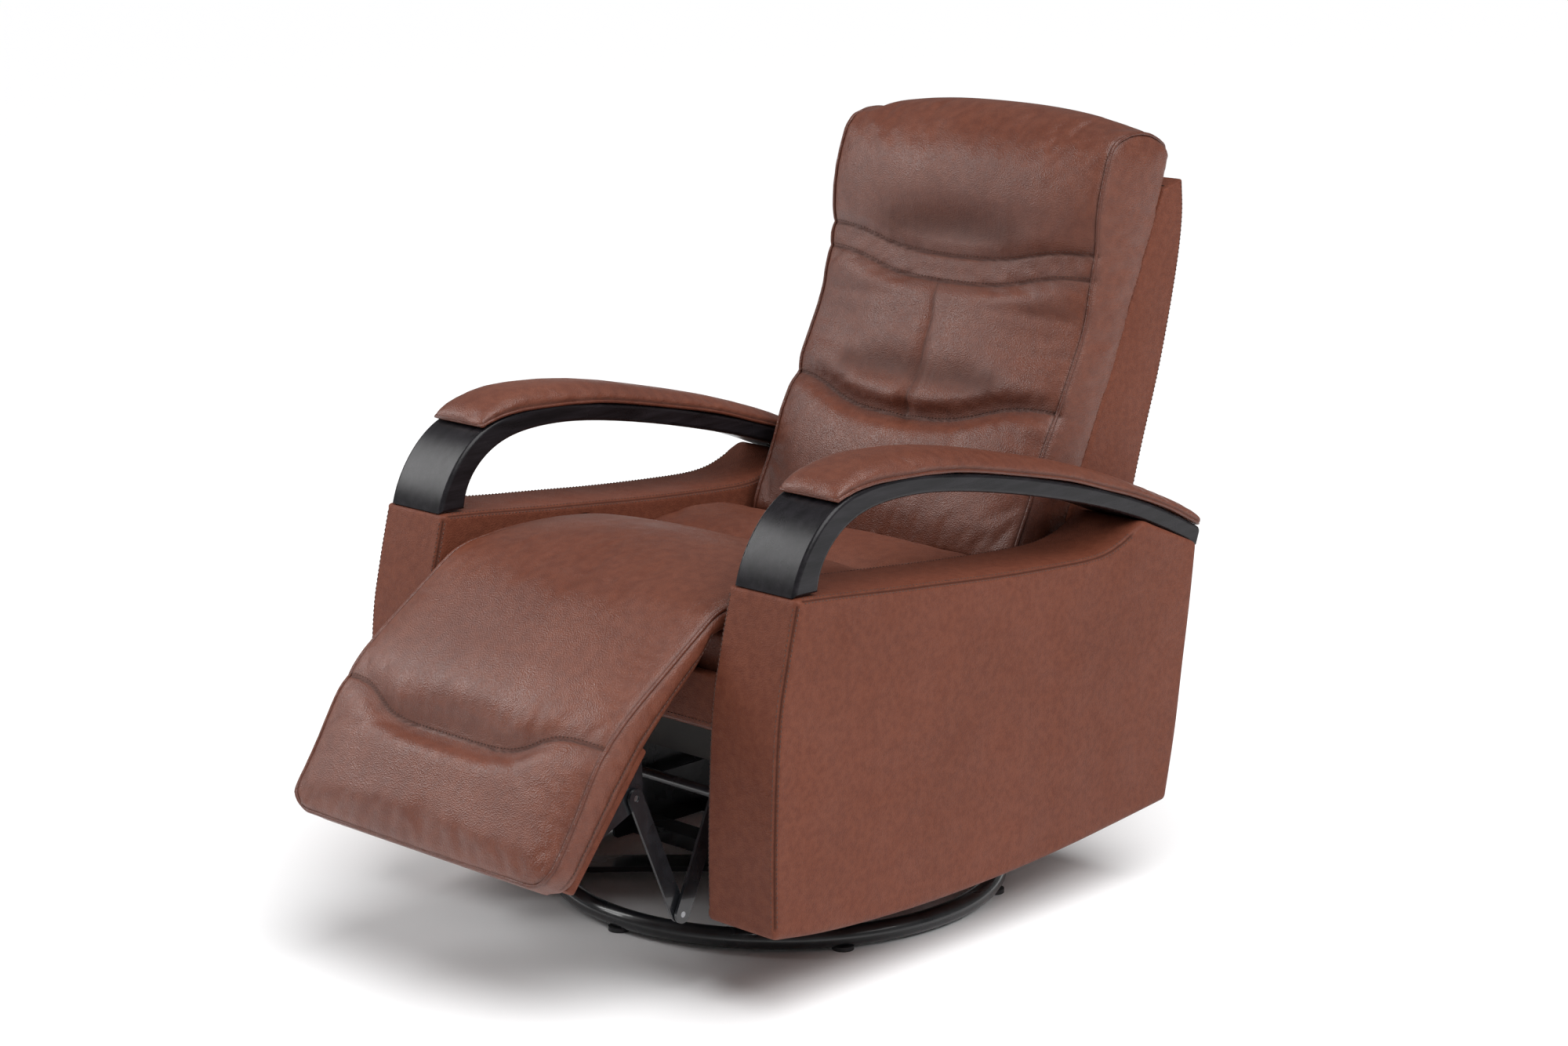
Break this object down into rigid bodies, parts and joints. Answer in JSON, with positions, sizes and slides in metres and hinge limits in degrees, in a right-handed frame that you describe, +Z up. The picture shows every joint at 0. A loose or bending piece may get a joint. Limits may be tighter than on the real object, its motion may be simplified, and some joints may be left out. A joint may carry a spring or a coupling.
{
  "type": "recliner armchair",
  "caption": "Leather swivel glider recliner with bentwood arms, a chaise leg rest, a reclining back and a round tubular floor ring.",
  "frame": {"origin": "on the floor, under the middle of the chair's outline", "axes": "+Z up, +Y from the leg rest to the back, +X to the sitter's left"},
  "size_m": [0.78, 1.2366, 1.0357],
  "materials": {
    "leather": "satin",
    "dark_wood": "satin",
    "timber": "matte",
    "black_cloth": "matte",
    "black_plastic": "satin",
    "zinc_steel": "satin",
    "black_steel": "gloss"
  },
  "bodies": {
    "base": {"base_ring": "black_steel", "cross_straps": "black_steel", "floor_glides": "black_plastic", "swivel_plate_lower": "black_steel", "swivel_washer": "black_plastic", "king_pin": "zinc_steel"},
    "turntable": {"swivel_plate_upper": "black_steel", "turntable_beams": "black_steel", "glide_stand_left": "black_steel", "glide_stand_right": "black_steel", "glide_stand_pins": "zinc_steel"},
    "glide_front": {"glide_links_front": "black_steel"},
    "glide_rear": {"glide_links_rear": "black_steel"},
    "back": {"back_frame": "timber", "back_webbing": "black_cloth", "back_bracket_left": "black_steel", "back_bracket_right": "black_steel", "back_cushion": "leather", "back_shell": "leather"},
    "legrest": {"legrest_board": "leather", "legrest_bracket_left": "black_steel", "legrest_bracket_right": "black_steel", "legrest_bracket_pins": "zinc_steel", "chaise_pad_leg": "leather"},
    "legrest_arms": {"legrest_arm_left": "black_steel", "legrest_arm_right": "black_steel", "legrest_cross_tube": "black_steel", "legrest_elbow_pins": "zinc_steel"},
    "legrest_couplers": {"legrest_couplers": "black_steel"},
    "release_lever": {"release_lever": "black_plastic"},
    "chassis": {"arm_bolts": "zinc_steel", "arm_cover_left": "leather", "arm_cover_right": "leather", "arm_pad_left": "leather", "arm_pad_right": "leather", "arm_panel_left": "timber", "arm_panel_right": "timber", "chaise_pad_seat": "leather", "dust_cover": "black_cloth", "glide_chassis_pins": "zinc_steel", "legrest_pivot_pins": "zinc_steel", "mechanism_cross_tube": "black_steel", "mechanism_plate_left": "black_steel", "mechanism_plate_right": "black_steel", "rear_panel": "leather", "recline_pins": "zinc_steel", "recline_plate_left": "black_steel", "recline_plate_right": "black_steel", "release_bezel": "black_plastic", "release_cable": "black_plastic", "seat_cushion": "leather", "seat_frame": "timber", "seat_front_panel": "leather", "seat_webbing": "black_cloth", "wood_arm_left": "dark_wood", "wood_arm_right": "dark_wood"}
  },
  "joints": [
    {"name": "swivel", "type": "hinge", "parent": "base", "child": "turntable", "pos_m": [0, 0.057, 0.03], "axis": [0, 0, 1], "continuous": true},
    {"name": "glide", "type": "slide", "parent": "turntable", "child": "chassis", "axis": [0, 1, 0], "range_m": [-0.02, 0.02], "stiffness_N_per_m": 3700},
    {"name": "glide_front_swing", "type": "hinge", "parent": "turntable", "child": "glide_front", "pos_m": [0, -0.073, 0.225], "axis": [1, 0, 0], "range_deg": [-10, 10]},
    {"name": "glide_rear_swing", "type": "hinge", "parent": "turntable", "child": "glide_rear", "pos_m": [0, 0.187, 0.225], "axis": [1, 0, 0], "range_deg": [-10, 10]},
    {"name": "recline", "type": "hinge", "parent": "chassis", "child": "back", "pos_m": [0, 0.247, 0.4], "axis": [-1, 0, 0], "range_deg": [-15, 20]},
    {"name": "legrest_open", "type": "hinge", "parent": "chassis", "child": "legrest", "pos_m": [0, -0.343, 0.47], "axis": [-1, 0, 0], "range_deg": [-39, 48]},
    {"name": "legrest_arm_swing", "type": "hinge", "parent": "chassis", "child": "legrest_arms", "pos_m": [0, -0.27, 0.3], "axis": [-1, 0, 0], "range_deg": [-39.5, 48.5]},
    {"name": "legrest_coupler_swing", "type": "hinge", "parent": "legrest_arms", "child": "legrest_couplers", "pos_m": [0, -0.35627, 0.10607], "axis": [-1, 0, 0], "range_deg": [-48.5, 39.5]},
    {"name": "release_pull", "type": "hinge", "parent": "chassis", "child": "release_lever", "pos_m": [-0.28, -0.062, 0.466], "axis": [-1, 0, 0], "range_deg": [0, 20], "stiffness_Nm_per_rad": 0.6, "springref_deg": -11.46}
  ],
  "couplings": [
    {"joint": "glide_front_swing", "follows": "glide", "rad_per_m": 8.3333},
    {"joint": "glide_rear_swing", "follows": "glide", "rad_per_m": 8.3333},
    {"joint": "legrest_arm_swing", "follows": "legrest_open", "ratio": 1},
    {"joint": "legrest_coupler_swing", "follows": "legrest_open", "ratio": -1}
  ]
}
